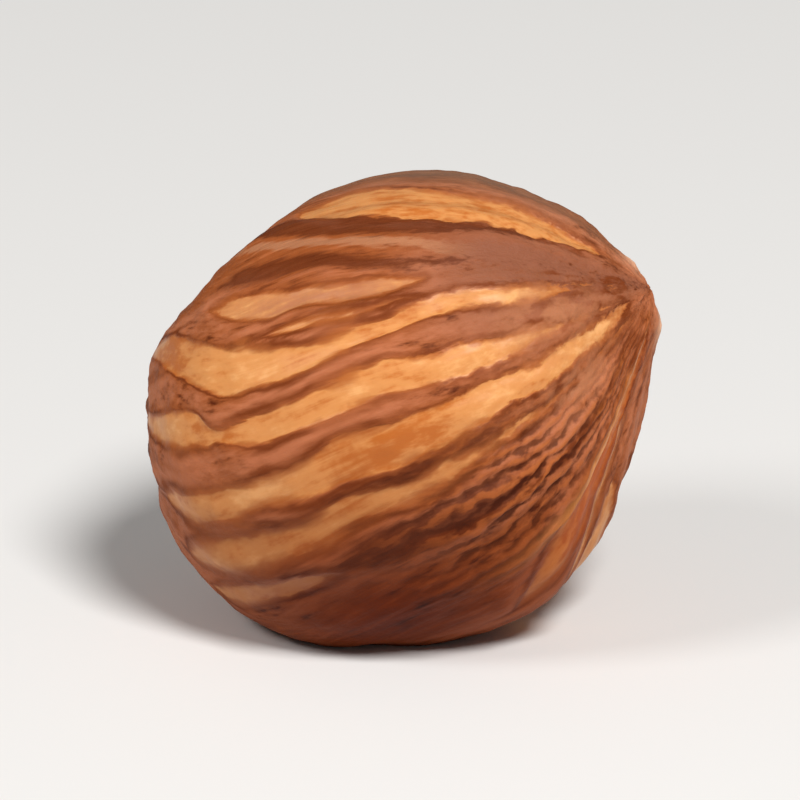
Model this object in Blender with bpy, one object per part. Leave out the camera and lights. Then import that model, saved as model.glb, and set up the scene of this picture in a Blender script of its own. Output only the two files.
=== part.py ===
"""A shelled hazelnut in its skin, lying on its round side with the pointed tip raised.

The kernel is one solid. It is first shaped upright, with its tip along +Z, its upper side along +X and the
side that faces the viewer along +Y. It is then laid down so that its length lies in the XZ plane.
Lengths are in metres, and angles are in degrees.
"""

import math
import random

import bmesh
import bpy
from mathutils import Matrix, Vector

MM = 0.001

# The body, measured from its middle
BELLY_RADIUS = 6.95 * MM
TIP_REACH = 8.20 * MM
BASE_REACH = 7.35 * MM
FULLNESS = 2.15
THICKNESS = 0.95
BELLY_SAG = 0.26 * MM

# The tip: a low cone that is wider from top to bottom than from side to side, with a nib on it
CONE_HEIGHT = 0.72 * MM
CONE_SPREAD = (16.0, 12.0)
NIB_HEIGHT = 0.16 * MM
NIB_SPREAD = 3.4

# How it lies, and the height of its middle over the small flat that it rests on
TIP_LIFT = 26.8
ROLL = 15.1
REST_HEIGHT = 6.74 * MM

# Where the skin's fibres meet at the base, as an angle from the tip and an angle round the length
BASE_POLE = (155.0, -20.0)

# Sides that the shell pressed flat: angle from the tip, angle round, distance from the middle
PRESSED_SIDES = (
    (111.0, 0.0, 6.46 * MM),
    (43.0, 178.0, 7.22 * MM),
    (84.0, 232.0, 6.30 * MM),
    (100.0, 300.0, 6.15 * MM),
    (52.0, 318.0, 6.95 * MM),
)
PRESS_SOFTNESS = 0.55 * MM

# Full places, such as the heavy lower side of the base: angle from the tip, angle round, height, spread
SWELLS = (
    (12.0, 205.0, 0.26 * MM, 6.5),
    (20.0, 350.0, 0.18 * MM, 9.0),
    (74.0, 180.0, 0.50 * MM, 24.0),
    (152.0, 182.0, 0.34 * MM, 28.0),
    (168.0, 20.0, 0.14 * MM, 24.0),
    (70.0, 262.0, 0.20 * MM, 24.0),
)

# Furrows that run from tip to base: ridges round the kernel, height, drift along the length, start
FURROWS = (
    (7, 0.060 * MM, 20.0, 40.0),
    (12, 0.045 * MM, -25.0, 200.0),
    (19, 0.050 * MM, 30.0, 10.0),
    (26, 0.045 * MM, -15.0, 120.0),
)
FURROW_FLOOR = 0.35
FURROWED_TIP = (42.0, 26.0)
FURROWED_SIDE = (150.0, 42.0)

# Golden bands, where the brown fibre layer has come off: angle round, half width, start and end from the tip
FACING_BANDS = (
    (34.0, 7.0, 24.0, 76.0),
    (67.5, 3.0, 58.0, 108.0),
    (82.5, 3.8, 28.0, 132.0),
    (94.5, 3.4, 24.0, 140.0),
    (107.0, 3.6, 8.0, 150.0),
    (120.8, 2.6, 62.0, 150.0),
    (134.0, 1.8, 106.0, 148.0),
    (153.0, 4.6, 16.0, 52.0),
)
HIDDEN_BANDS = (170.0, 376.0)
BAND_GAP = (11.0, 19.0)
BAND_HALF_WIDTH = (2.4, 6.0)
BAND_START = (20.0, 58.0)
BAND_END = (112.0, 146.0)
BAND_TAPER = 14.0
BAND_EDGE = 1.6
BAND_DEPTH = 0.055 * MM
BAND_SEED = 11

# All bands shift round the kernel over this stretch from the tip, and then fan out from one line
DRIFT = 3.5
DRIFT_STRETCH = (80.0, 112.0)
FAN = 18.0
FAN_STRETCH = (98.0, 150.0)
FAN_LINE = 95.0

# The rough scar round the base pole, where the kernel was joined to its shell
SCAR_RADIUS = 27.0
SCAR_EDGE = 5.0
SCAR_DEPTH = 0.16 * MM
SCAR_LOBES = ((3, 3.0, 25.0), (5, 2.2, 130.0), (8, 1.2, 60.0))
SCAR_FOLDS = ((5, 0.07 * MM, 9.0), (9, 0.05 * MM, -13.0))

# The mesh: points round the kernel, points along it, and how much closer those lie at both ends
SEGMENTS = 104
RINGS = 53
CROWDING = 0.17

SKIN_COLOUR = (0.42, 0.17, 0.055, 1.0)
SKIN_ROUGHNESS = 0.5


def direction(polar, around):
    """The unit vector at these angles from the tip and round the length."""
    polar = math.radians(polar)
    around = math.radians(around)
    return Vector((math.sin(polar) * math.cos(around), math.sin(polar) * math.sin(around), math.cos(polar)))


def bump(distance, spread):
    """A smooth hump, 1 in the middle and fading over spread."""
    return math.exp(-((distance / spread) ** 2))


def ease(low, high, value):
    """0 below low, 1 above high, and a smooth step between them."""
    share = min(max((value - low) / (high - low), 0.0), 1.0)
    return share * share * (3.0 - 2.0 * share)


def smooth_minimum(a, b, reach):
    """The smaller of two values, with their meeting rounded over reach."""
    share = max(reach - abs(a - b), 0.0) / reach
    return min(a, b) - share**3 * reach / 6.0


def turned_by(angle, other):
    """The angle between two angles round the kernel, without its sign."""
    return abs((angle - other + 180.0) % 360.0 - 180.0)


def body_radius(towards):
    """Distance from the middle to the smooth body in this direction, before it is pressed."""
    polar = math.degrees(math.acos(min(max(towards.z, -1.0), 1.0)))
    reach = TIP_REACH if towards.z > 0.0 else BASE_REACH
    across = math.hypot(towards.x, towards.y / THICKNESS)
    lengthwise = (abs(towards.z) / reach) ** FULLNESS
    crosswise = (across / BELLY_RADIUS) ** FULLNESS
    round_part = (lengthwise + crosswise) ** (-1.0 / FULLNESS)
    turn = math.atan2(towards.y / CONE_SPREAD[1], towards.x / CONE_SPREAD[0])
    cone_spread = CONE_SPREAD[0] * math.cos(turn) ** 2 + CONE_SPREAD[1] * math.sin(turn) ** 2
    return round_part + CONE_HEIGHT * bump(polar, cone_spread) + NIB_HEIGHT * bump(polar, NIB_SPREAD)


def pressed_radius(towards):
    """The body's radius with its swells and its pressed sides."""
    radius = body_radius(towards)
    for polar, around, height, spread in SWELLS:
        apart = math.degrees(towards.angle(direction(polar, around)))
        radius += height * bump(apart, spread)
    for polar, around, distance in PRESSED_SIDES:
        facing = max(towards.dot(direction(polar, around)), 0.05)
        radius = smooth_minimum(radius, distance / facing, PRESS_SOFTNESS)
    return radius


def smooth_point(towards):
    """The point of the bare body in this direction, with the belly sagging away from its upper side."""
    point = towards * pressed_radius(towards)
    point.x -= BELLY_SAG * (1.0 - (point.z / TIP_REACH) ** 2)
    return point


def fibre_frame():
    """The base pole, and the upper and facing directions across the line that the fibres turn round."""
    tip = smooth_point(Vector((0.0, 0.0, 1.0)))
    base = smooth_point(direction(*BASE_POLE))
    line = (tip - base).normalized()
    upper = Vector((1.0, 0.0, 0.0))
    upper = (upper - upper.dot(line) * line).normalized()
    return base, upper, line.cross(upper)


def bands():
    """The golden bands of the facing side, and those of the hidden side, drawn at random from a fixed seed."""
    draw = random.Random(BAND_SEED)
    made = list(FACING_BANDS)
    around = HIDDEN_BANDS[0]
    while around < HIDDEN_BANDS[1]:
        made.append((around, draw.uniform(*BAND_HALF_WIDTH), draw.uniform(*BAND_START), draw.uniform(*BAND_END)))
        around += draw.uniform(*BAND_GAP)
    return made


def band_depth(polar, fibre, made):
    """How far the surface lies below the brown fibre layer."""
    swayed = fibre - DRIFT * ease(*DRIFT_STRETCH, polar)
    swayed -= FAN * ease(*FAN_STRETCH, polar) * math.sin(math.radians(fibre - FAN_LINE))
    inside = -180.0
    for around, half_width, start, end in made:
        taper = ease(start - BAND_TAPER, start + BAND_TAPER, polar)
        taper *= 1.0 - ease(end - BAND_TAPER, end + BAND_TAPER, polar)
        inside = max(inside, half_width * (2.0 * taper - 1.0) - turned_by(swayed, around))
    return BAND_DEPTH * ease(-BAND_EDGE, BAND_EDGE, inside)


def furrow_height(polar, fibre):
    """The ridges and furrows along the fibres, deepest near the tip and on the lower side."""
    height = 0.0
    for count, ridge, drift, start in FURROWS:
        height += ridge * math.cos(math.radians(count * fibre + start + drift * math.sin(math.radians(2.0 * polar))))
    near_tip = bump(polar - FURROWED_TIP[0], FURROWED_TIP[1])
    lower_side = bump(turned_by(fibre, FURROWED_SIDE[0]), FURROWED_SIDE[1])
    share = min(FURROW_FLOOR + 0.65 * near_tip + 0.5 * lower_side, 1.25)
    return height * share * max(math.sin(math.radians(polar)), 0.0) ** 0.75


def scar_depth(towards, fibre):
    """The sunken, folded patch round the base pole."""
    apart = math.degrees(towards.angle(direction(*BASE_POLE)))
    rim = SCAR_RADIUS
    for lobes, width, start in SCAR_LOBES:
        rim += width * math.cos(math.radians(lobes * fibre + start))
    inside = 1.0 - ease(rim - SCAR_EDGE, rim + SCAR_EDGE, apart)
    depth = SCAR_DEPTH
    for folds, height, turns in SCAR_FOLDS:
        depth += height * math.cos(math.radians(folds * fibre + turns * apart)) * ease(0.0, 0.5 * rim, apart)
    return inside * depth


def skin_point(towards, frame, made):
    """The point of the finished skin in this direction."""
    point = smooth_point(towards)
    base, upper, facing = frame
    from_base = point - base
    fibre = math.degrees(math.atan2(from_base.dot(facing), from_base.dot(upper)))
    polar = math.degrees(towards.angle(Vector((0.0, 0.0, 1.0))))
    away_from_scar = ease(0.0, 2.0 * SCAR_RADIUS, math.degrees(towards.angle(direction(*BASE_POLE))))
    relief = furrow_height(polar, fibre) * away_from_scar - scar_depth(towards, fibre)
    return point + towards * (relief - band_depth(polar, fibre, made))


def crowded(towards):
    """The same direction, moved along the length so that points lie closer at the tip and at the base."""
    polar = math.acos(min(max(towards.z, -1.0), 1.0))
    polar -= CROWDING * math.sin(2.0 * polar)
    return direction(math.degrees(polar), math.degrees(math.atan2(towards.y, towards.x)))


def laid_down():
    """The turn from upright to lying: the upper side rolls away from the viewer, and the tip leans to +X."""
    length = Vector((math.cos(math.radians(TIP_LIFT)), 0.0, math.sin(math.radians(TIP_LIFT))))
    above = Vector((-length.z, 0.0, length.x))
    upper = above * math.cos(math.radians(ROLL)) + Vector((0.0, 1.0, 0.0)) * math.sin(math.radians(ROLL))
    return Matrix((upper, length.cross(upper), length)).transposed()


def press_rest_flat(shape):
    """Lifts the kernel's middle to its height over the origin, and presses the lowest part level."""
    for vertex in shape.verts:
        vertex.co.z = max(vertex.co.z + REST_HEIGHT, 0.0)


def skin_material():
    material = bpy.data.materials.new("brown_and_golden_skin")
    material.use_nodes = True
    shader = material.node_tree.nodes["Principled BSDF"]
    shader.inputs["Base Color"].default_value = SKIN_COLOUR
    shader.inputs["Roughness"].default_value = SKIN_ROUGHNESS
    shader.inputs["Metallic"].default_value = 0.0
    return material


def make_kernel():
    """The whole kernel, as one closed mesh."""
    frame = fibre_frame()
    made = bands()
    shape = bmesh.new()
    bmesh.ops.create_uvsphere(shape, u_segments=SEGMENTS, v_segments=RINGS, radius=1.0)
    for vertex in shape.verts:
        vertex.co = skin_point(crowded(vertex.co.normalized()), frame, made)
    bmesh.ops.rotate(shape, verts=shape.verts, matrix=laid_down())
    press_rest_flat(shape)
    mesh = bpy.data.meshes.new("kernel")
    shape.to_mesh(mesh)
    shape.free()
    mesh.shade_smooth()
    mesh.materials.append(skin_material())
    return bpy.data.objects.new("kernel", mesh)


def clear_scene():
    for thing in list(bpy.data.objects):
        bpy.data.objects.remove(thing)


def main():
    clear_scene()
    collection = bpy.data.collections.new("hazelnut")
    bpy.context.scene.collection.children.link(collection)
    collection.objects.link(make_kernel())


main()
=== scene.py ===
"""A shelled hazelnut: its striped brown and golden skin, the rough scar at its base, and a pale floor.

The kernel is shaped upright, with its tip along +Z, its upper side along +X and the side that faces the
viewer along +Y. It is then laid down on its round side. Lengths are in metres, and angles in degrees.
"""

import math
import random

import bpy
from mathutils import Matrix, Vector


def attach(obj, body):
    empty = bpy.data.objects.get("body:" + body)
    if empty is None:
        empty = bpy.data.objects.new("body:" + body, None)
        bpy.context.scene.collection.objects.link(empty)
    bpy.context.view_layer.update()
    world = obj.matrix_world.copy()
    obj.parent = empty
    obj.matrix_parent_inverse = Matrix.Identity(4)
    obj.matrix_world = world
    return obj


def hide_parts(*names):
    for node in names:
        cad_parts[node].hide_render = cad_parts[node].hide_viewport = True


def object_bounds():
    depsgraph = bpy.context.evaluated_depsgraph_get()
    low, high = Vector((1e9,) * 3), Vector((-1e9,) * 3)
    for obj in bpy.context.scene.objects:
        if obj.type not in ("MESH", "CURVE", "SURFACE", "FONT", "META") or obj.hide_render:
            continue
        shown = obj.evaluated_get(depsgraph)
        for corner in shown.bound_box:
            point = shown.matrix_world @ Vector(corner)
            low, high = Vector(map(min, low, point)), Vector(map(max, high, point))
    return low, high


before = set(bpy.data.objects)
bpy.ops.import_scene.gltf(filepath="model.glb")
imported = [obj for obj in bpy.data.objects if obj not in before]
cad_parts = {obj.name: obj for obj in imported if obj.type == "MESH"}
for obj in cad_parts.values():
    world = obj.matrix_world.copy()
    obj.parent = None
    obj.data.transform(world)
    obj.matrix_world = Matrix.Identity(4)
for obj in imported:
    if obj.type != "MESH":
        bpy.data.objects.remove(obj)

cad_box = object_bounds()

MM = 0.001
HALF_TURN = 180.0
DEGREE = math.pi / HALF_TURN

# The body, measured from its middle
BODY_SIZES = {
    "Belly Radius": 6.95 * MM,
    "Tip Reach": 8.20 * MM,
    "Base Reach": 7.35 * MM,
    "Fullness": 2.15,
    "Thickness": 0.95,
    "Belly Sag": 0.26 * MM,
    "Cone Height": 0.72 * MM,
    "Nib Height": 0.16 * MM,
    "Rest Height": 6.74 * MM,
}

# How far the tip's cone spreads, in degrees, upwards and towards the viewer, and how far its nib does
CONE_SPREAD = (16.0, 12.0)
NIB_SPREAD = 3.4

# How it lies
TIP_LIFT = 26.8
ROLL = 15.1

# Where the skin's fibres meet at the base, as an angle from the tip and an angle round the length
BASE_POLE = (155.0, -20.0)

# Sides that the shell pressed flat: angle from the tip, angle round, distance from the middle
PRESSED_SIDES = (
    (111.0, 0.0, 6.46 * MM),
    (43.0, 178.0, 7.22 * MM),
    (84.0, 232.0, 6.30 * MM),
    (100.0, 300.0, 6.15 * MM),
    (52.0, 318.0, 6.95 * MM),
)
PRESS_SOFTNESS = 0.55 * MM
LEAST_FACING = 0.05

# Full places, such as the heavy lower side of the base: angle from the tip, angle round, height, spread
SWELLS = (
    (12.0, 205.0, 0.26 * MM, 6.5),
    (20.0, 350.0, 0.18 * MM, 9.0),
    (74.0, 180.0, 0.50 * MM, 24.0),
    (152.0, 182.0, 0.34 * MM, 28.0),
    (168.0, 20.0, 0.14 * MM, 24.0),
    (70.0, 262.0, 0.20 * MM, 24.0),
)

# Furrows that run from tip to base: ridges round the kernel, height, drift along the length, start
FURROWS = (
    (7, 0.060 * MM, 20.0, 40.0),
    (12, 0.045 * MM, -25.0, 200.0),
    (19, 0.050 * MM, 30.0, 10.0),
    (26, 0.045 * MM, -15.0, 120.0),
)

# How deep they are everywhere, how much deeper near the tip and on the lower side, and the most they may be
FURROW_FLOOR = 0.35
TIP_FURROWS = 0.65
SIDE_FURROWS = 0.5
FURROW_LIMIT = 1.25
FURROW_FADE = 0.75
FURROWED_TIP = (42.0, 26.0)
FURROWED_SIDE = (150.0, 42.0)

# Golden bands of the facing side, where the brown fibre layer has come off.
# Each is a list of places along it: angle from the tip, angle round the fibres' line, half width.
FACING_BANDS = {
    "upper": (
        (12, 32, -3), (20, 34, 9), (32, 33.5, 10.5), (50, 33.5, 9.5), (66, 31, 10), (78, 30, 7), (87, 28, -3),
    ),
    "short": (
        (54, 67, -2), (60, 67.8, 1.8), (68, 68.4, 2.7), (80, 67.2, 2.8), (90, 66.5, 3.2), (100, 66, 4.4),
        (108, 64.5, 2.8), (114, 62, -2),
    ),
    "broad": (
        (20, 77, -1.5), (26, 77.2, 2.8), (34, 77.2, 3.8), (50, 77, 3.2), (57, 78, 3), (66, 80.2, 2.3),
        (76, 81.8, 2.5), (86, 83.4, 3), (96, 83.8, 4.2), (106, 83, 6), (113, 82.5, 7), (121, 78, 8.6),
        (129, 71, 9), (136, 64, 5), (142, 60, -2),
    ),
    "middle": (
        (26, 94, -1), (35, 94.4, 3), (46, 94.8, 3.9), (56, 94.6, 4.5), (64, 93.9, 4.2), (74, 94.2, 4),
        (82, 95, 3.7), (90, 96, 3.4), (98, 97.3, 3), (107, 98.5, 2.9), (115, 99.2, 3), (121, 98.6, 1.6),
        (126, 97, 4.4), (140, 96, 5.5), (152, 95, -2),
    ),
    "long": (
        (5, 101, -2), (9, 102.5, 5), (15, 106, 6), (26, 106, 5), (34, 107.4, 4.5), (43, 107, 4.6),
        (52, 107.6, 5.3), (60, 108.6, 5.2), (70, 109, 4.9), (80, 109.5, 5.2), (89, 109.4, 5.4),
        (97, 110.6, 4.6), (105, 112.4, 3.6), (114, 113.5, 3.4), (123, 115, 3.4), (132, 117, 3.8),
        (144, 120, 4), (153, 121, -2),
    ),
    "lower": (
        (54, 119, -1), (60, 119.8, 1.5), (68, 120.6, 2.4), (80, 121, 2.8), (90, 121.2, 2.9), (99, 122.3, 3.2),
        (107, 124.4, 3.4), (116, 126, 4), (125, 128, 4.4), (134, 130.5, 4.8), (144, 134, 4.6), (153, 138, -2),
    ),
    "lowest": (
        (104, 134, -1), (114, 135.5, 1.8), (123, 138, 2.5), (132, 141.5, 3), (142, 146, 3.4), (151, 149, -2),
    ),
    "thread_by_short": ((64, 73.5, -0.5), (72, 74.4, 0.7), (82, 74.8, 1.0), (92, 75.2, 0.7), (99, 76, -0.5)),
    "thread_by_lower": ((30, 117.5, -0.5), (40, 118, 1.2), (50, 118.6, 1.4), (60, 120, 0.6), (66, 121, -0.5)),
    "under_tip": (
        (8, 152, -3), (15, 154, 6), (24, 156.5, 9), (36, 157.5, 9.5), (46, 158, 9), (56, 160, 6.5),
        (66, 163, 4), (78, 166, -2),
    ),
    "beyond_tip": (
        (16, 173, -2), (24, 174, 3.5), (36, 175, 5), (48, 176, 5), (60, 177, 4), (72, 179, 3), (86, 180, -2),
    ),
}

# No strip's half width may be above this, in degrees
WIDEST_BAND = 18.0

# Golden bands of the hidden side, drawn at random
HIDDEN_BANDS = (187.0, 352.0)
BAND_GAP = (11.0, 19.0)
BAND_HALF_WIDTH = (2.4, 6.0)
BAND_START = (20.0, 58.0)
BAND_END = (112.0, 146.0)
BAND_TAPER = 14.0
BAND_SEED = 11

# How deep the bands lie, how wide their edges are, and how the brown layer rises beside them
BAND_DEPTH = 0.09 * MM
BAND_EDGE = 0.12 * MM
CREST_HEIGHT = 0.06 * MM
CREST_WIDTH = 0.70 * MM

# This share of the step at a band's edge is left at the base, past this stretch from the tip
LEVEL_SHARE = 0.4
LEVEL_BASE = (132.0, 104.0)

# How much further than elsewhere, in millimetres, the brown layer covers the bands right at the tip
TIP_COVER = 0.26
TIP_COVER_STRETCH = (10.0, 3.0)

# How far the bands' course sways, in degrees, and how ragged their edges are, in millimetres
BAND_SWAY = 3.2
HIDDEN_BAND_SWAY = 9.0
BAND_RAGGEDNESS = 0.34

# The upper band's lower edge is the most ragged: angle round the fibres' line, spread, and how much more
NOTCHED_EDGE = (44.0, 6.0, 1.8)

# All fibres shift round the kernel over this stretch from the tip, and then fan out from one line
DRIFT = 3.5
DRIFT_STRETCH = (80.0, 112.0)
FAN = 18.0
FAN_STRETCH = (98.0, 150.0)
FAN_LINE = 95.0

# How far fibres merge towards both ends: 0 keeps them all, 1 keeps them as far apart as at the belly
FIBRE_MERGING = 0.6

# Dark ragged strips and a pale streak in the brown layer, given as the golden bands are
DARK_STRIPS = (
    (
        (22, 47, -1), (30, 47.4, 2.2), (40, 47.4, 3.2), (48, 47.8, 3.8), (58, 47, 4), (67, 45.2, 4.6),
        (78, 41.3, 5.4), (89, 37.4, 5.2), (98, 34, 3.5), (108, 30, -1),
    ),
    (
        (46, 115.5, -1), (55, 115, 1.6), (62, 115, 2.4), (72, 115.8, 2.8), (85, 115.5, 2.2), (96, 117, 1.6),
        (104, 118, -1),
    ),
    ((50, 71.5, -0.6), (58, 72.5, 0.7), (70, 72.4, 0.9), (80, 72.2, 0.8), (92, 72.4, -0.6)),
    ((54, 131, -1), (64, 131, 4), (80, 131, 5), (96, 131.5, 3.5), (110, 133, -1)),
    (
        (42, 63, -1), (52, 62.4, 1.8), (63, 61.2, 2.3), (73, 58.6, 2.5), (84, 55.4, 3), (96, 55, 4.2),
        (106, 55, 2.5), (114, 54, -1),
    ),
)
PALE_STREAK = (
    (14, 66, -1), (27, 61, 6), (40, 59.5, 5), (48, 58, 3.2), (56, 55.3, 2), (66, 53, 2.2),
    (78, 49.5, 2.3), (89, 46, 2.3), (97, 42.8, 2), (106, 40, -1),
)

# How much the gold's tone falls in its deep patches, and how much it rises in its pale ones
DEEPENING = 0.20
PALING = 0.16

# Those patches: angle from the tip, angle round the fibres' line, reach both ways, share
DEEP_PATCHES = (
    (78.0, 110.0, 16.0, 5.0, 0.85),
    (128.0, 70.0, 9.0, 10.0, 0.85),
    (118.0, 98.0, 5.0, 4.0, 0.5),
    (92.0, 110.0, 8.0, 5.0, 0.5),
    (114.0, 126.0, 14.0, 6.0, 0.5),
    (45.0, 165.0, 20.0, 14.0, 0.85),
    (44.0, 32.0, 28.0, 12.0, 0.5),
)
PALE_PATCHES = (
    (20.0, 106.0, 14.0, 6.0, 0.9),
    (50.0, 95.0, 11.0, 5.0, 0.5),
    (37.0, 78.0, 8.0, 4.0, 1.0),
    (48.0, 107.0, 7.0, 5.0, 0.8),
    (106.0, 83.0, 12.0, 7.0, 0.35),
    (122.0, 115.0, 14.0, 4.0, 0.6),
    (38.0, 150.0, 16.0, 3.0, 1.0),
)

# The thin pinkish film that still covers the skin near the tip, given as the patches are
FILM_PLACES = (
    (27.0, 88.0, 15.0, 15.0, 0.75),
    (30.0, 120.0, 13.0, 8.0, 0.85),
)

# The short band's gold is dull, as the film has stayed on it
DULL_PLACE = (84.0, 68.0)
DULL_REACH = (38.0, 7.0)
DULL_SHARE = 0.95

# Painted sheen: the upper side is greyed as a reflection of the white room at grazing angles
PAINTED_SHEEN_PLACE = (50.0, 4.0)
PAINTED_SHEEN_REACH = (45.0, 15.0)
PAINTED_SHEEN_SHARE = 0.9

# The mauve brown between the bands near the tip: stretch from the tip, angle round the fibres' line, spread
TIP_MAUVE_STRETCH = (70.0, 38.0)
TIP_MAUVE_SIDE = (68.0, 28.0)

# Painted shade: the lower side's skin is darkened where shade falls on it
PAINTED_SHADE_PLACE = (103.0, 151.0)
PAINTED_SHADE_REACH = (54.0, 36.0)

# The band under the tip is a deeper orange
UNDER_TIP_PLACE = (44.0, 160.0)
UNDER_TIP_REACH = (30.0, 11.0)

# Where the bands end softly: angle from the tip, angle round the fibres' line, reach both ways, softness
SOFT_EDGES = (
    (58.0, 164.0, 16.0, 14.0, 0.50),
    (84.0, 30.0, 14.0, 12.0, 0.45),
    (88.0, 125.0, 34.0, 6.0, 0.28),
    (80.0, 70.0, 30.0, 7.5, 0.15),
    (138.0, 128.0, 16.0, 24.0, 0.30),
)

# Pale, papery ends of the tip's crest, their colour partly a painted highlight: angle from the tip, angle
# round, spread, height
NIB_ENDS = (
    (7.0, -25.0, 2.4, 0.12 * MM),
    (8.5, 217.0, 3.2, 0.12 * MM),
)

# The wrinkled zone low on the tip's side, and the crest beside it
WRINKLED_PLACE = (54.0, 134.0)
WRINKLED_REACH = (34.0, 18.0)
WRINKLE_HEIGHT = 0.15 * MM
WRINKLES_ROUND = 94
WRINKLE_SWAY = (520.0, 800.0)
WRINKLE_SHARE = 0.38
WRINKLE_BREAKS = 1.2
CREST_PLACE = (40.0, 150.5)
CREST_REACH = (24.0, 2.6)
SIDE_CREST_HEIGHT = 0.13 * MM
SIDE_CREST_SHARE = 0.8

# The lumps of the skin, and the fibres that stand up in the brown layer
LUMP_HEIGHT = 0.26 * MM
FIBRE_HEIGHT = 0.12 * MM

# The rough scar round the base pole, where the kernel was joined to its shell
SCAR_RADIUS = 27.0
SCAR_EDGE = 5.0
SCAR_SKIN_EDGE = 2.5
SCAR_SKIN_SWAY = 14.0
SCAR_DEPTH = 0.16 * MM
SCAR_LOBES = ((3, 3.0, 25.0), (5, 2.2, 130.0), (8, 1.2, 60.0))
SCAR_FOLDS = ((5, 0.05 * MM, 9.0), (9, 0.035 * MM, -13.0))
PIT_HEIGHT = 0.9 * MM
PIT_LIMIT = 0.14
PIT_DEPTH = 0.10 * MM

# Noise drawn out along the fibres: its width and length at the belly, where it starts, and its detail
SWAY_NOISE = (1.2 * MM, 1.8 * MM, 3.0)
LOOSE_NOISE = (3.0 * MM, 5.0 * MM, 5.0)
LONG_LUMP_NOISE = (1.2 * MM, 4.0 * MM, 6.0)
FIBRE_NOISE = (0.36 * MM, 3.0 * MM, 7.0)
RAGGED_NOISE = (0.5 * MM, 1.9 * MM, 11.0)
FINE_SWAY_NOISE = (0.7 * MM, 1.1 * MM, 21.0)
WIDE_SWAY_NOISE = (1.6 * MM, 3.0 * MM, 22.0)
BREAK_NOISE = (0.30 * MM, 0.9 * MM, 23.0)
BROWN_THREAD_NOISE = (0.18 * MM, 3.0 * MM, 31.0, 3.0)
SHADE_NOISE = (1.1 * MM, 4.5 * MM, 37.0, 2.0)
RIM_NOISE = (1.3 * MM, 3.6 * MM, 39.0)
FRAY_NOISE = (0.14 * MM, 1.5 * MM, 41.0)
WISP_NOISE = (0.5 * MM, 2.0 * MM, 47.0, 3.0)
GOLD_THREAD_NOISE = (0.20 * MM, 2.8 * MM, 51.0, 3.0)
STRING_NOISE = (0.30 * MM, 2.4 * MM, 73.0, 4.0)
SCAR_RIM_NOISE = (0.5 * MM, 3.0 * MM, 77.0, 3.0)
BUMP_THREAD_NOISE = (0.12 * MM, 1.8 * MM, 81.0, 4.0)

# Noise that is as wide in every direction: its width, where it starts, and its detail
ROUND_LUMP_NOISE = (2.6 * MM, 4.0)
PIT_NOISE = (1.5 * MM, 9.0, 4.0)
BLOTCH_NOISE = (0.8 * MM, 33.0, 3.0)
SOFT_EDGE_NOISE = (2.2 * MM, 45.0)
GOLD_CLOUD_NOISE = (1.7 * MM, 61.0, 3.0)
GOLD_GRAIN_NOISE = (0.24 * MM, 63.0, 2.0)
SCAR_CLOUD_NOISE = (1.6 * MM, 71.0, 4.0)
SCAR_PIT_NOISE = (0.42 * MM, 75.0, 3.0)
BUMP_GRAIN_NOISE = (0.22 * MM, 83.0, 3.0)
NOISE_ROUGHNESS = 0.55

# The mesh: points round the kernel, points along it, and how much closer those lie at both ends
SEGMENTS = 430
RINGS = 226
CROWDING = 0.17

# The camera, as seen in the photo: turned to the right of the kernel's side, and looking down
VIEW_AZIMUTH = 7.2
VIEW_ELEVATION = 20.0
CAMERA_DISTANCE = 0.40
FRAME_WIDTH = 24.5 * MM
SENSOR_WIDTH = 36.0


class Wire:
    """An output of a node. Arithmetic on it adds the nodes that work out the result."""

    def __init__(self, socket):
        self.socket = socket

    def __add__(self, other):
        return calc("ADD", self, other)

    def __radd__(self, other):
        return calc("ADD", other, self)

    def __sub__(self, other):
        return calc("SUBTRACT", self, other)

    def __rsub__(self, other):
        return calc("SUBTRACT", other, self)

    def __mul__(self, other):
        return calc("MULTIPLY", self, other)

    def __rmul__(self, other):
        return calc("MULTIPLY", other, self)

    def __truediv__(self, other):
        return calc("DIVIDE", self, other)

    def __rtruediv__(self, other):
        return calc("DIVIDE", other, self)

    def __pow__(self, other):
        return calc("POWER", self, other)

    def __neg__(self):
        return calc("MULTIPLY", self, -1.0)

    def __abs__(self):
        return calc("ABSOLUTE", self)


class Bench:
    """Puts nodes into one tree."""

    def __init__(self, tree):
        self.tree = tree

    def put(self, kind, settings=None, sockets=None, out=0):
        """Adds a node, sets it up, feeds its sockets, and returns one of its outputs."""
        node = self.tree.nodes.new(kind)
        for name, value in (settings or {}).items():
            if name == "points":
                draw_curve(node.mapping, value)
            else:
                setattr(node, name, value)
        for key, value in (sockets or {}).items():
            self.feed(node.inputs[key], value)
        return Wire(node.outputs[out]) if node.outputs else None

    def feed(self, socket, value):
        if isinstance(value, Wire):
            self.tree.links.new(value.socket, socket)
        elif socket.type == "VECTOR" and isinstance(value, (int, float)):
            socket.default_value = (value, value, value)
        elif socket.type == "RGBA":
            socket.default_value = (*value[:3], 1.0)
        else:
            socket.default_value = value


def bench_of(*values):
    """The bench that the wires among these values lie on."""
    return Bench(next(value.socket.id_data for value in values if isinstance(value, Wire)))


def calc(operation, *values):
    """Adds one Math node, or one Vector Math node if a value is a vector."""
    vector = any(isinstance(value, Wire) and value.socket.type == "VECTOR" for value in values)
    kind = "ShaderNodeVectorMath" if vector else "ShaderNodeMath"
    return bench_of(*values).put(kind, {"operation": operation}, dict(enumerate(values)))


def dot(a, b):
    settings = {"operation": "DOT_PRODUCT"}
    return bench_of(a, b).put("ShaderNodeVectorMath", settings, {0: a, 1: b}, out="Value")


def parts_of(vector):
    """The three numbers of a vector."""
    node = bench_of(vector).put("ShaderNodeSeparateXYZ", None, {0: vector}).socket.node
    return [Wire(output) for output in node.outputs]


def joined(x, y, z):
    """A vector made of three numbers."""
    return bench_of(x, y, z).put("ShaderNodeCombineXYZ", None, {0: x, 1: y, 2: z})


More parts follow.
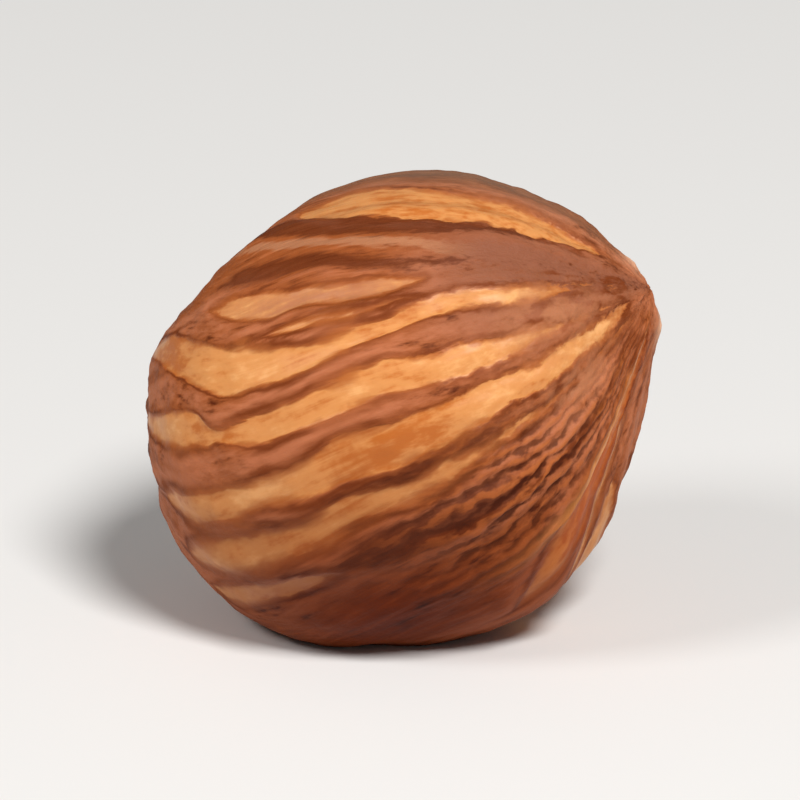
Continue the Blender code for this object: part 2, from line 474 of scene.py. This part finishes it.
def ease(low, high, value):
    """0 at low, 1 at high, and a smooth step between them."""
    sockets = {0: value, 1: low, 2: high, 3: 0.0, 4: 1.0}
    return bench_of(value).put("ShaderNodeMapRange", {"interpolation_type": "SMOOTHSTEP"}, sockets)


def hump(distance, spread):
    """A smooth hump, 1 in the middle and fading over spread."""
    ratio = distance / spread
    return calc("EXPONENT", -(ratio * ratio))


def cosine(degrees):
    return calc("COSINE", degrees * DEGREE)


def sine(degrees):
    return calc("SINE", degrees * DEGREE)


def turned_by(angle, other):
    """The angle between two angles round the kernel, without its sign."""
    return abs(calc("WRAP", angle - other, HALF_TURN, -HALF_TURN))


def largest(values):
    """The largest of several wires."""
    result = values[0]
    for value in values[1:]:
        result = calc("MAXIMUM", result, value)
    return result


def draw_curve(mapping, points):
    """Sets the points of a curve node. Past its ends the curve stays level."""
    mapping.use_clip = False
    mapping.extend = "HORIZONTAL"
    curve = mapping.curves[0]
    for point, place in zip(curve.points, (points[0], points[-1])):
        point.location = place
    for place in points[1:-1]:
        curve.points.new(*place)
    mapping.update()


def colour(red, green, blue):
    """A colour as it shows on a screen, 0 to 255, in the linear light that shaders use."""
    return tuple(
        part / 12.92 if part <= 0.04045 else ((part + 0.055) / 1.055) ** 2.4
        for part in (red / 255.0, green / 255.0, blue / 255.0)
    )


def direction(polar, around):
    """The unit vector at these angles from the tip and round the length."""
    polar, around = polar * DEGREE, around * DEGREE
    ring = math.sin(polar)
    return Vector((ring * math.cos(around), ring * math.sin(around), math.cos(polar)))


# The smooth body

def angle_to(towards, place):
    """The angle between the kernel's directions and one fixed direction."""
    return calc("ARCCOSINE", dot(towards, direction(*place))) / DEGREE


def body_radius(towards, sizes):
    """Distance from the middle to the smooth body, before it is pressed."""
    x, y, z = parts_of(towards)
    polar = calc("ARCCOSINE", z) / DEGREE
    tip_side = calc("GREATER_THAN", z, 0.0)
    reach = sizes["Base Reach"] + (sizes["Tip Reach"] - sizes["Base Reach"]) * tip_side
    flattened = y / sizes["Thickness"]
    across = calc("SQRT", x * x + flattened * flattened)
    lengthwise = (abs(z) / reach) ** sizes["Fullness"]
    crosswise = (across / sizes["Belly Radius"]) ** sizes["Fullness"]
    round_part = (lengthwise + crosswise) ** (-1.0 / sizes["Fullness"])
    wide = (x / CONE_SPREAD[0]) ** 2.0
    narrow = (y / CONE_SPREAD[1]) ** 2.0
    cone_spread = (CONE_SPREAD[0] * wide + CONE_SPREAD[1] * narrow) / (wide + narrow)
    cone = sizes["Cone Height"] * hump(polar, cone_spread)
    return round_part + cone + sizes["Nib Height"] * hump(polar, NIB_SPREAD)


def pressed_radius(towards, sizes):
    """The body's radius with its swells and its pressed sides."""
    radius = body_radius(towards, sizes)
    for polar, around, height, spread in SWELLS:
        radius = radius + height * hump(angle_to(towards, (polar, around)), spread)
    for polar, around, distance in PRESSED_SIDES:
        facing = calc("MAXIMUM", dot(towards, direction(polar, around)), LEAST_FACING)
        radius = calc("SMOOTH_MIN", radius, distance / facing, PRESS_SOFTNESS)
    return radius


def smooth_point(towards, sizes):
    """The point of the bare body in each direction, with the belly sagging away from its upper side."""
    point = towards * pressed_radius(towards, sizes)
    along = parts_of(point)[2] / sizes["Tip Reach"]
    sag = sizes["Belly Sag"] * (1.0 - along * along)
    return point - joined(sag, 0.0, 0.0)


# The fibres and the bands

def fibre_frame(bench, sizes):
    """The base pole, and the upper and facing directions across the line that the fibres turn round."""
    tip = smooth_point(bench.put("ShaderNodeCombineXYZ", None, {2: 1.0}), sizes)
    pole = dict(enumerate(direction(*BASE_POLE)))
    base = smooth_point(bench.put("ShaderNodeCombineXYZ", None, pole), sizes)
    line = calc("NORMALIZE", tip - base)
    upper = bench.put("ShaderNodeCombineXYZ", None, {0: 1.0})
    upper = calc("NORMALIZE", upper - line * dot(upper, line))
    return base, upper, calc("CROSS_PRODUCT", line, upper)


def fibre_angle(point, frame_of_fibres):
    """The angle round the fibres' line: 0 on the upper side and 90 on the facing side."""
    base, upper, facing = frame_of_fibres
    from_base = point - base
    return calc("ARCTAN2", dot(from_base, facing), dot(from_base, upper)) / DEGREE


def straightened(polar, fibre):
    """The fibre angle without the drift and the fan that all fibres share."""
    drift = DRIFT * ease(*DRIFT_STRETCH, polar)
    return fibre - drift - FAN * ease(*FAN_STRETCH, polar) * sine(fibre - FAN_LINE)


def fibre_noise(flow, width, length, start, detail=2.0):
    """Noise drawn out along the fibres, as wide and as long as this at the belly."""
    x, y, along = parts_of(flow)
    belly = BODY_SIZES["Belly Radius"]
    place = joined(x * (belly / width), y * (belly / width), along * (belly / length) + start)
    return noise_at(place, detail)


def plain_noise(towards, width, start, detail=2.0):
    """Noise that is as wide in every direction."""
    return noise_at(towards * (BODY_SIZES["Belly Radius"] / width) + Vector((start, start, 0.0)), detail)


def noise_at(place, detail):
    """The noise at a place, from 0 to 1."""
    sockets = {"Vector": place, "Scale": 1.0, "Detail": detail, "Roughness": NOISE_ROUGHNESS}
    return bench_of(place).put("ShaderNodeTexNoise", {"noise_dimensions": "3D"}, sockets)


def hidden_bands():
    """The golden bands of the hidden side, drawn at random from a fixed seed."""
    draw = random.Random(BAND_SEED)
    made = []
    around = HIDDEN_BANDS[0]
    while around < HIDDEN_BANDS[1]:
        half_width = draw.uniform(*BAND_HALF_WIDTH)
        start = draw.uniform(*BAND_START)
        end = draw.uniform(*BAND_END)
        made.append((around, half_width, start, end))
        around += draw.uniform(*BAND_GAP)
    return made


def course(polar, places, full):
    """A value along the length, as a smooth curve through its places. None of them is above full."""
    points = [(at_polar / HALF_TURN, value / full) for at_polar, value in places]
    return bench_of(polar).put("ShaderNodeFloatCurve", {"points": points}, {1: polar / HALF_TURN}) * full


def inside_strip(polar, fibre, places):
    """How far inside a strip the surface lies, in degrees round the kernel: negative outside it."""
    centre = course(polar, [(at_polar, at_fibre) for at_polar, at_fibre, _ in places], HALF_TURN)
    half = course(polar, [(at_polar, half_width) for at_polar, _, half_width in places], WIDEST_BAND)
    return half - turned_by(fibre, centre)


def inside_hidden_band(polar, flow_angle, band):
    """The same for a band of the hidden side, which keeps to the fibres."""
    around, half_width, start, end = band
    taper = ease(start - BAND_TAPER, start + BAND_TAPER, polar)
    taper = taper * ease(end + BAND_TAPER, end - BAND_TAPER, polar)
    return half_width * (2.0 * taper - 1.0) - turned_by(flow_angle, around)


def fibre_ring(towards, polar):
    """How far apart the fibres lie: 1 half way along them, and 0 at the tip and at the base pole."""
    along = HALF_TURN * polar / (polar + angle_to(towards, BASE_POLE))
    return calc("MAXIMUM", sine(along), 0.0)


def strip_distance(ring, depths):
    """The distance inside the nearest of several strips, in millimetres."""
    return largest(depths) * ring * (DEGREE * BODY_SIZES["Belly Radius"] / MM)


# The relief

def furrow_height(polar, fibre):
    """The ridges and furrows along the fibres, deepest near the tip and on the lower side."""
    height = 0.0
    for count, ridge, drift, start in FURROWS:
        height = height + ridge * cosine(count * fibre + drift * sine(2.0 * polar) + start)
    near_tip = hump(polar - FURROWED_TIP[0], FURROWED_TIP[1])
    lower_side = hump(turned_by(fibre, FURROWED_SIDE[0]), FURROWED_SIDE[1])
    share = FURROW_FLOOR + TIP_FURROWS * near_tip + SIDE_FURROWS * lower_side
    share = calc("MINIMUM", share, FURROW_LIMIT)
    return height * share * calc("MAXIMUM", sine(polar), 0.0) ** FURROW_FADE


def scar_share(towards, fibre, edge=SCAR_EDGE, sway=0.0):
    """1 inside the scar round the base pole, 0 outside it, with a lobed rim."""
    rim = sway + SCAR_RADIUS
    for lobes, width, start in SCAR_LOBES:
        rim = rim + width * cosine(lobes * fibre + start)
    return 1.0 - ease(rim - edge, rim + edge, angle_to(towards, BASE_POLE))


def scar_depth(towards, fibre):
    """The sunken, folded patch round the base pole."""
    apart = angle_to(towards, BASE_POLE)
    folded = ease(0.0, 0.5 * SCAR_RADIUS, apart) * ease(SCAR_RADIUS, 0.6 * SCAR_RADIUS, apart)
    depth = SCAR_DEPTH
    for folds, height, turns in SCAR_FOLDS:
        depth = depth + height * cosine(folds * fibre + turns * apart) * folded
    return depth * scar_share(towards, fibre)


def patch(polar, fibre, place, reach):
    """1 in the middle of a soft patch of the skin, 0 away from it."""
    return hump(polar - place[0], reach[0]) * hump(turned_by(fibre, place[1]), reach[1])


def wrinkles(flow, fibre):
    """The wavy wrinkles along the fibres: 0 in their troughs, 1 on their crests."""
    sway = WRINKLE_SWAY[0] * fibre_noise(flow, *FINE_SWAY_NOISE)
    sway = sway + WRINKLE_SWAY[1] * fibre_noise(flow, *WIDE_SWAY_NOISE)
    broken = fibre_noise(flow, *BREAK_NOISE) - 0.5
    return 0.5 + WRINKLE_SHARE * cosine(WRINKLES_ROUND * fibre + sway) + WRINKLE_BREAKS * broken


def fine_relief(flow, towards, polar, fibre, gold):
    """Relief too fine for the solid: lumps, fibres that stand up in the brown layer, and wrinkles."""
    brown = ease(0.06, -0.06, gold)
    lumps = LUMP_HEIGHT * (plain_noise(towards, *ROUND_LUMP_NOISE) - 0.5)
    lumps = lumps + LUMP_HEIGHT * (fibre_noise(flow, *LONG_LUMP_NOISE) - 0.5)
    fibres = FIBRE_HEIGHT * (fibre_noise(flow, *FIBRE_NOISE) - 0.5) * (0.25 + 0.75 * brown)
    wrinkled = WRINKLE_HEIGHT * (wrinkles(flow, fibre) - 0.5)
    wrinkled = wrinkled * patch(polar, fibre, WRINKLED_PLACE, WRINKLED_REACH)
    crests = SIDE_CREST_HEIGHT * patch(polar, fibre, CREST_PLACE, CREST_REACH)
    wrinkled = wrinkled * (0.2 + 0.8 * brown) + crests
    for at_polar, around, spread, height in NIB_ENDS:
        wrinkled = wrinkled + height * hump(angle_to(towards, (at_polar, around)), spread)
    scar = scar_share(towards, fibre)
    pits = abs(plain_noise(towards, *PIT_NOISE) - 0.5)
    rough = (PIT_HEIGHT * calc("MINIMUM", pits, PIT_LIMIT) - PIT_DEPTH) * scar
    return lumps * (1.0 - scar) + fibres + wrinkled + rough


# The kernel's mesh

def add_inputs(tree, sizes):
    """Gives the tree a named input for each size, and returns their wires."""
    source = tree.nodes.new("NodeGroupInput")
    for name in sizes:
        kind = "NodeSocketInt" if isinstance(sizes[name], int) else "NodeSocketFloat"
        tree.interface.new_socket(name, in_out="INPUT", socket_type=kind)
    return {name: Wire(source.outputs[name]) for name in sizes}


def kept(bench, shape, name, kind, value):
    """Stores a value on the shape's points, and returns the shape and the stored value."""
    settings = {"data_type": kind, "domain": "POINT"}
    sockets = {"Geometry": shape, "Name": name, "Value": value}
    shape = bench.put("GeometryNodeStoreNamedAttribute", settings, sockets)
    return shape, bench.put("GeometryNodeInputNamedAttribute", {"data_type": kind}, {"Name": name})


def crowded(position):
    """The sphere's directions, moved along the length so that points lie closer at both ends."""
    x, y, z = parts_of(position)
    polar = calc("ARCCOSINE", z)
    polar = polar - CROWDING * calc("SINE", 2.0 * polar)
    around = calc("ARCTAN2", y, x)
    ring = calc("SINE", polar)
    return joined(ring * calc("COSINE", around), ring * calc("SINE", around), calc("COSINE", polar))


def laid_down(point, rest_height):
    """Turns the upright kernel onto its side, lifts it to its height and presses its lowest part level."""
    length = Vector((math.cos(TIP_LIFT * DEGREE), 0.0, math.sin(TIP_LIFT * DEGREE)))
    above = Vector((-length.z, 0.0, length.x))
    upper = above * math.cos(ROLL * DEGREE) + Vector((0.0, 1.0, 0.0)) * math.sin(ROLL * DEGREE)
    facing = length.cross(upper)
    x, y, z = [
        dot(point, Vector((upper[axis], facing[axis], length[axis]))) for axis in range(3)
    ]
    return joined(x, y, calc("MAXIMUM", z + rest_height, 0.0))


def kernel_tree(sizes, material):
    """The geometry nodes that grow the kernel's skin from a sphere of directions."""
    tree = bpy.data.node_groups.new("kernel_growth", "GeometryNodeTree")
    tree.interface.new_socket("Geometry", in_out="OUTPUT", socket_type="NodeSocketGeometry")
    bench = Bench(tree)
    sized = add_inputs(tree, sizes)

    sockets = {"Segments": sized["Segments"], "Rings": sized["Rings"], "Radius": 1.0}
    shape = bench.put("GeometryNodeMeshUVSphere", None, sockets)
    position = bench.put("GeometryNodeInputPosition")
    shape, towards = kept(bench, shape, "towards", "FLOAT_VECTOR", crowded(position))

    point = smooth_point(towards, sized)
    fibre = fibre_angle(point, fibre_frame(bench, sized))
    polar = calc("ARCCOSINE", parts_of(towards)[2]) / DEGREE
    flow_angle = straightened(polar, fibre)
    shape, fibre = kept(bench, shape, "fibre", "FLOAT", fibre)
    ring = fibre_ring(towards, polar)
    merged = ring ** FIBRE_MERGING
    flow = joined(merged * cosine(flow_angle), merged * sine(flow_angle), polar * DEGREE)
    shape, flow = kept(bench, shape, "flow", "FLOAT_VECTOR", flow)

    swayed = fibre + BAND_SWAY * (fibre_noise(flow, *SWAY_NOISE) - 0.5)
    facing = [inside_strip(polar, swayed, places) for places in FACING_BANDS.values()]
    loose = flow_angle + HIDDEN_BAND_SWAY * (fibre_noise(flow, *LOOSE_NOISE) - 0.5)
    hidden = [inside_hidden_band(polar, loose, band) for band in hidden_bands()]
    notches = 1.0 + NOTCHED_EDGE[2] * hump(turned_by(fibre, NOTCHED_EDGE[0]), NOTCHED_EDGE[1])
    ragged = BAND_RAGGEDNESS * (fibre_noise(flow, *RAGGED_NOISE) - 0.5) * notches
    covered = TIP_COVER * ease(*TIP_COVER_STRETCH, polar)
    gold = strip_distance(ring, facing + hidden) + ragged - covered
    shape, gold = kept(bench, shape, "gold", "FLOAT", gold)
    dark = strip_distance(ring, [inside_strip(polar, swayed, places) for places in DARK_STRIPS])
    shape, dark = kept(bench, shape, "dark", "FLOAT", dark)
    pale = strip_distance(ring, [inside_strip(polar, swayed, PALE_STREAK)])
    shape, pale = kept(bench, shape, "pale", "FLOAT", pale)

    away_from_scar = ease(0.0, 2.0 * SCAR_RADIUS, angle_to(towards, BASE_POLE))
    relief = furrow_height(polar, fibre) * away_from_scar - scar_depth(towards, fibre)
    steps = sized["Crest Height"] * ease(0.0, -CREST_WIDTH / MM, gold)
    steps = steps - sized["Band Depth"] * ease(-BAND_EDGE / MM, BAND_EDGE / MM, gold)
    relief = relief + steps * (LEVEL_SHARE + (1.0 - LEVEL_SHARE) * ease(*LEVEL_BASE, polar))
    relief = relief + fine_relief(flow, towards, polar, fibre, gold)
    point = laid_down(point + towards * relief, sized["Rest Height"])

    shape = bench.put("GeometryNodeSetPosition", None, {"Geometry": shape, "Position": point})
    shape = bench.put("GeometryNodeSetShadeSmooth", None, {"Geometry": shape})
    shape = bench.put("GeometryNodeRealizeInstances", None, {"Geometry": shape})
    shape = bench.put("GeometryNodeSetMaterial", None, {"Geometry": shape, "Material": material})
    bench.feed(tree.nodes.new("NodeGroupOutput").inputs["Geometry"], shape)
    return tree


def grown(name, tree, values):
    """The plain mesh object that a tree of geometry nodes makes from these values."""
    seed = bpy.data.objects.new(name + "_seed", bpy.data.meshes.new(name + "_seed"))
    bpy.context.scene.collection.objects.link(seed)
    modifier = seed.modifiers.new("growth", "NODES")
    modifier.node_group = tree
    for item in tree.interface.items_tree:
        if item.in_out == "INPUT" and item.name in values:
            modifier[item.identifier] = values[item.name]
    evaluated = seed.evaluated_get(bpy.context.evaluated_depsgraph_get())
    mesh = bpy.data.meshes.new_from_object(evaluated)
    mesh.name = name
    bpy.data.objects.remove(seed)
    piece = bpy.data.objects.new(name, mesh)
    bpy.context.scene.collection.objects.link(piece)
    return piece


# The skin's finish

GOLD_PALE = colour(230, 168, 108)
GOLD = colour(213, 143, 82)
GOLD_DEEP = colour(188, 105, 44)
GOLD_RIM = colour(164, 84, 32)
FILM = colour(180, 116, 80)
PAINTED_SHEEN_GREY = colour(128, 96, 76)
MAUVE = colour(189, 115, 79)
TIP_MAUVE = colour(140, 84, 60)
STREAK_PALE = colour(174, 115, 80)
BROWN_LIGHT = colour(178, 101, 58)
BROWN = colour(153, 80, 38)
BROWN_DARK = colour(88, 34, 9)
TORN_RIM_AND_PAINTED_SHADE = colour(116, 52, 18)
WRINKLE_PAINTED_HIGHLIGHT = colour(188, 106, 54)
WRINKLE_PAINTED_SHADE = colour(66, 21, 4)
SIDE_CREST_PALE = colour(232, 156, 86)
UNDER_TIP_TINT = (1.0, 0.72, 0.46)
PAINTED_SHADE_TINT = (0.30, 0.15, 0.07)
NIB_PALE_AND_HIGHLIGHT = colour(236, 184, 150)
SCAR_BROWN = colour(130, 68, 36)
SCAR_DARK = colour(72, 32, 14)
SCAR_PALE = colour(186, 122, 74)
BUMP_STRENGTH = 0.6
BUMP_DISTANCE = 0.07 * MM


def blended(first, second, share):
    """One colour that goes over to another as share goes from 0 to 1."""
    sockets = {0: share, 6: first, 7: second}
    settings = {"data_type": "RGBA", "clamp_factor": True}
    return bench_of(first, second, share).put("ShaderNodeMix", settings, sockets, out=2)


def tinted(base, tint, share):
    """A colour seen through a tint, as far as share goes from 0 to 1."""
    sockets = {0: share, 6: base, 7: tint}
    settings = {"data_type": "RGBA", "blend_type": "MULTIPLY", "clamp_factor": True}
    return bench_of(base, tint, share).put("ShaderNodeMix", settings, sockets, out=2)


def attribute(bench, name, out):
    return bench.put("ShaderNodeAttribute", {"attribute_name": name}, None, out)


def brown_colour(flow, towards, polar, fibre, ragged, dark, pale):
    """The papery fibre layer: brown threads, mauve on its crests with painted sheen, darker at its torn rims
    with painted shade there, and painted shade and highlights on its wrinkles.
    """
    threads = fibre_noise(flow, *BROWN_THREAD_NOISE)
    shades = fibre_noise(flow, *SHADE_NOISE)
    blotches = plain_noise(towards, *BLOTCH_NOISE)
    tone = 0.45 * threads + 0.35 * shades + 0.20 * blotches
    brown = blended(BROWN_DARK, BROWN, ease(0.32, 0.48, tone))
    brown = blended(brown, BROWN_LIGHT, ease(0.48, 0.64, tone))
    # Mauve on the strips' raised middles: partly their own colour, partly painted sheen
    crest = hump(ragged + 0.42, 0.28) * ease(0.24, 0.56, shades + 0.5 * (threads - 0.5))
    brown = blended(brown, MAUVE, 0.85 * crest)
    near_tip = ease(*TIP_MAUVE_STRETCH, polar)
    near_tip = near_tip * hump(turned_by(fibre, TIP_MAUVE_SIDE[0]), TIP_MAUVE_SIDE[1])
    brown = blended(brown, TIP_MAUVE, near_tip * ease(0.28, 0.50, tone))
    streak = blended(TIP_MAUVE, STREAK_PALE, ease(40.0, 58.0, polar))
    brown = blended(brown, streak, 0.9 * ease(-0.05, 0.15, pale + 0.5 * (threads - 0.5)))
    brown = blended(brown, BROWN_DARK, 0.78 * ease(-0.10, 0.18, dark + 0.8 * (threads - 0.5)))
    # The dark rim is partly the torn edge's own colour and partly painted shade beside the step
    rim_width = 0.05 + 0.09 * ease(0.36, 0.62, shades)
    rim_share = 0.35 + 0.60 * ease(0.40, 0.56, fibre_noise(flow, *RIM_NOISE))
    brown = blended(brown, TORN_RIM_AND_PAINTED_SHADE, rim_share * hump(ragged + rim_width, rim_width))
    # Painted shade in the wrinkles' troughs and a painted highlight on their crests
    wrinkled = patch(polar, fibre, WRINKLED_PLACE, WRINKLED_REACH)
    ripple = wrinkles(flow, fibre) + 1.2 * (threads - 0.5)
    brown = blended(brown, WRINKLE_PAINTED_SHADE, 0.85 * wrinkled * ease(0.55, 0.10, ripple))
    return blended(brown, WRINKLE_PAINTED_HIGHLIGHT, 0.85 * wrinkled * ease(0.60, 1.0, ripple))


def gold_colour(flow, towards, polar, fibre, ragged):
    """The bare golden skin: clouded, with faint threads, deeper at its rims and dull on the short band."""
    threads = fibre_noise(flow, *GOLD_THREAD_NOISE)
    clouds = plain_noise(towards, *GOLD_CLOUD_NOISE)
    grain = plain_noise(towards, *GOLD_GRAIN_NOISE)
    tone = 0.42 * threads + 0.46 * clouds + 0.12 * grain
    for at_polar, at_fibre, reach, spread, share in DEEP_PATCHES:
        tone = tone - DEEPENING * share * patch(polar, fibre, (at_polar, at_fibre), (reach, spread))
    for at_polar, at_fibre, reach, spread, share in PALE_PATCHES:
        tone = tone + PALING * share * patch(polar, fibre, (at_polar, at_fibre), (reach, spread))
    gold = blended(GOLD_DEEP, GOLD, ease(0.32, 0.50, tone))
    gold = blended(gold, GOLD_PALE, ease(0.50, 0.68, tone))
    film = DULL_SHARE * ease(0.72, 0.42, tone) * patch(polar, fibre, DULL_PLACE, DULL_REACH)
    gold = blended(gold, FILM, film)
    rim_width = 0.06 + 0.30 * ease(0.40, 0.64, clouds)
    return blended(GOLD_RIM, gold, 0.15 + 0.85 * ease(-0.04, 1.0, ragged / rim_width))


def scar_colour(towards, flow):
    """The scar: dull brown and stringy, with dark pits, and paler towards its middle."""
    clouds = plain_noise(towards, *SCAR_CLOUD_NOISE)
    strings = fibre_noise(flow, *STRING_NOISE)
    pits = plain_noise(towards, *SCAR_PIT_NOISE)
    middle = ease(SCAR_RADIUS, 0.3 * SCAR_RADIUS, angle_to(towards, BASE_POLE))
    tone = 0.40 * clouds + 0.60 * strings + 0.06 * middle
    scar = blended(SCAR_DARK, SCAR_BROWN, ease(0.38, 0.50, tone))
    scar = blended(scar, SCAR_PALE, ease(0.50, 0.64, tone))
    return blended(scar, SCAR_DARK, 0.8 * ease(0.40, 0.30, pits))


def skin_material():
    """The kernel's skin."""
    material = bpy.data.materials.new("kernel_skin")
    material.use_nodes = True
    tree = material.node_tree
    tree.nodes.clear()
    bench = Bench(tree)
    flow = attribute(bench, "flow", "Vector")
    towards = attribute(bench, "towards", "Vector")
    fibre = attribute(bench, "fibre", "Fac")
    gold = attribute(bench, "gold", "Fac")
    dark = attribute(bench, "dark", "Fac")
    pale = attribute(bench, "pale", "Fac")
    polar = parts_of(flow)[2] / DEGREE

    frayed = 0.05 + 0.15 * ease(140.0, 118.0, polar)
    ragged = gold + frayed * (fibre_noise(flow, *FRAY_NOISE) - 0.5)
    softness = 0.035 + 0.22 * ease(0.44, 0.66, plain_noise(towards, *SOFT_EDGE_NOISE))
    for at_polar, at_fibre, reach, spread, more in SOFT_EDGES:
        softness = softness + more * patch(polar, fibre, (at_polar, at_fibre), (reach, spread))
    golden = ease(-1.0, 1.0, ragged / softness)
    sway = SCAR_SKIN_SWAY * (fibre_noise(flow, *SCAR_RIM_NOISE) - 0.5)
    scar = scar_share(towards, fibre, SCAR_SKIN_EDGE, sway)
    brown = brown_colour(flow, towards, polar, fibre, ragged, dark, pale)
    skin = blended(brown, gold_colour(flow, towards, polar, fibre, ragged), golden)
    wisps = ease(0.34, 0.60, fibre_noise(flow, *WISP_NOISE))
    for at_polar, at_fibre, reach, spread, share in FILM_PLACES:
        film = share * wisps * patch(polar, fibre, (at_polar, at_fibre), (reach, spread))
        skin = blended(skin, FILM, film)
    # Painted sheen: grey on the upper side stands for the room's grazing reflection
    skin = blended(skin, PAINTED_SHEEN_GREY, PAINTED_SHEEN_SHARE * patch(polar, fibre, PAINTED_SHEEN_PLACE, PAINTED_SHEEN_REACH))
    under_tip = patch(polar, fibre, UNDER_TIP_PLACE, UNDER_TIP_REACH)
    skin = tinted(skin, UNDER_TIP_TINT, under_tip)
    side_crest = SIDE_CREST_SHARE * patch(polar, fibre, CREST_PLACE, CREST_REACH)
    skin = blended(skin, SIDE_CREST_PALE, side_crest)
    # Painted shade: a multiplied tint darkens the lower side
    skin = tinted(skin, PAINTED_SHADE_TINT, patch(polar, fibre, PAINTED_SHADE_PLACE, PAINTED_SHADE_REACH))
    # The nib ends' pale colour is partly papery skin and partly a painted highlight
    for at_polar, around, spread, _ in NIB_ENDS:
        skin = blended(skin, NIB_PALE_AND_HIGHLIGHT, hump(angle_to(towards, (at_polar, around)), spread))
    skin = blended(skin, scar_colour(towards, flow), scar)

    threads = fibre_noise(flow, *BUMP_THREAD_NOISE)
    grain = plain_noise(towards, *BUMP_GRAIN_NOISE)
    matt = 1.0 - golden * (1.0 - scar)
    height = threads * (0.25 + 0.75 * matt) + 0.5 * grain * (0.3 + 0.7 * matt)
    sockets = {"Strength": BUMP_STRENGTH, "Distance": BUMP_DISTANCE, "Height": height}
    bump = bench.put("ShaderNodeBump", None, sockets)
    roughness = 0.38 + 0.20 * matt + 0.12 * (threads - 0.5)
    sockets = {
        "Base Color": skin,
        "Roughness": roughness,
        "Normal": bump,
        "IOR": 1.22,
        "Specular IOR Level": 0.35,
        "Coat Weight": 0.3 * golden * (1.0 - scar) * (1.0 - under_tip),
        "Coat Roughness": 0.34,
        "Coat IOR": 1.32,
        "Subsurface Weight": 0.08,
        "Subsurface Radius": (1.0, 0.45, 0.2),
        "Subsurface Scale": 0.4 * MM,
    }
    shader = bench.put("ShaderNodeBsdfPrincipled", None, sockets)
    bench.put("ShaderNodeOutputMaterial", None, {"Surface": shader})
    return material


def make_kernel():
    """The kernel's skin, which stands for the plain solid."""
    sizes = {
        "Segments": SEGMENTS,
        "Rings": RINGS,
        "Band Depth": BAND_DEPTH,
        "Crest Height": CREST_HEIGHT,
        **BODY_SIZES,
    }
    piece = grown("kernel_skin", kernel_tree(sizes, skin_material()), sizes)
    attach(piece, "root")
    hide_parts("kernel")


# The floor, the light and the camera

FLOOR_SIZE = 2.0
FLOOR_COLOUR = colour(234, 232, 229)
FLOOR_ROUGHNESS = 0.7

# The lamps: turned to the right of the front, height above the floor's plane in degrees, and power
KEY_LAMP = (32.0, 50.0, 2.65)
SIDE_LAMP = (-52.0, 42.0, 0.75)
LAMP_DISTANCE = 0.5
LAMP_SIZE = 0.16
ROOM_STRENGTH = 0.13

# The camera sees what lies between these distances
NEAREST_SEEN = 0.01
FARTHEST_SEEN = 10.0


def plain_material(name, base, roughness):
    material = bpy.data.materials.new(name)
    material.use_nodes = True
    shader = material.node_tree.nodes["Principled BSDF"]
    shader.inputs["Base Color"].default_value = (*base, 1.0)
    shader.inputs["Roughness"].default_value = roughness
    return material


def make_floor():
    bpy.ops.mesh.primitive_plane_add(size=FLOOR_SIZE, location=(0.0, 0.0, 0.0))
    floor = bpy.context.object
    floor.name = "pale_floor"
    floor.data.materials.append(plain_material("pale_floor", FLOOR_COLOUR, FLOOR_ROUGHNESS))


def aimed(thing, place, target):
    """Stands a lamp or a camera at a place, looking at a target."""
    thing.location = place
    thing.rotation_mode = "QUATERNION"
    thing.rotation_quaternion = (Vector(target) - Vector(place)).to_track_quat("-Z", "Y")


def seen_from(azimuth, elevation, distance, target):
    """The place at this distance from the target, in this direction from it."""
    azimuth, elevation = azimuth * DEGREE, elevation * DEGREE
    level = math.cos(elevation)
    back = (math.sin(azimuth) * level, -math.cos(azimuth) * level, math.sin(elevation))
    return Vector(target) + distance * Vector(back)


def soft_lamp(name, azimuth, elevation, power, target):
    lamp = bpy.data.lights.new(name, "AREA")
    lamp.shape = "DISK"
    lamp.size = LAMP_SIZE
    lamp.energy = power
    thing = bpy.data.objects.new(name, lamp)
    bpy.context.scene.collection.objects.link(thing)
    aimed(thing, seen_from(azimuth, elevation, LAMP_DISTANCE, target), target)


def light_the_room(target):
    """A white room, a big soft lamp above the front and a weaker one at the side."""
    world = bpy.data.worlds.new("white_room")
    bpy.context.scene.world = world
    world.use_nodes = True
    background = world.node_tree.nodes["Background"]
    background.inputs["Color"].default_value = (1.0, 1.0, 1.0, 1.0)
    background.inputs["Strength"].default_value = ROOM_STRENGTH
    soft_lamp("key", *KEY_LAMP, target)
    soft_lamp("side", *SIDE_LAMP, target)


def place_camera(target):
    camera = bpy.data.cameras.new("camera")
    camera.sensor_width = SENSOR_WIDTH
    camera.lens = SENSOR_WIDTH * CAMERA_DISTANCE / FRAME_WIDTH
    camera.clip_start = NEAREST_SEEN
    camera.clip_end = FARTHEST_SEEN
    thing = bpy.data.objects.new("camera", camera)
    bpy.context.scene.collection.objects.link(thing)
    aimed(thing, seen_from(VIEW_AZIMUTH, VIEW_ELEVATION, CAMERA_DISTANCE, target), target)
    bpy.context.scene.camera = thing


def main():
    middle = (cad_box[0] + cad_box[1]) / 2
    bpy.context.scene.view_settings.view_transform = "Standard"
    make_kernel()
    make_floor()
    light_the_room(middle)
    place_camera(middle)


main()
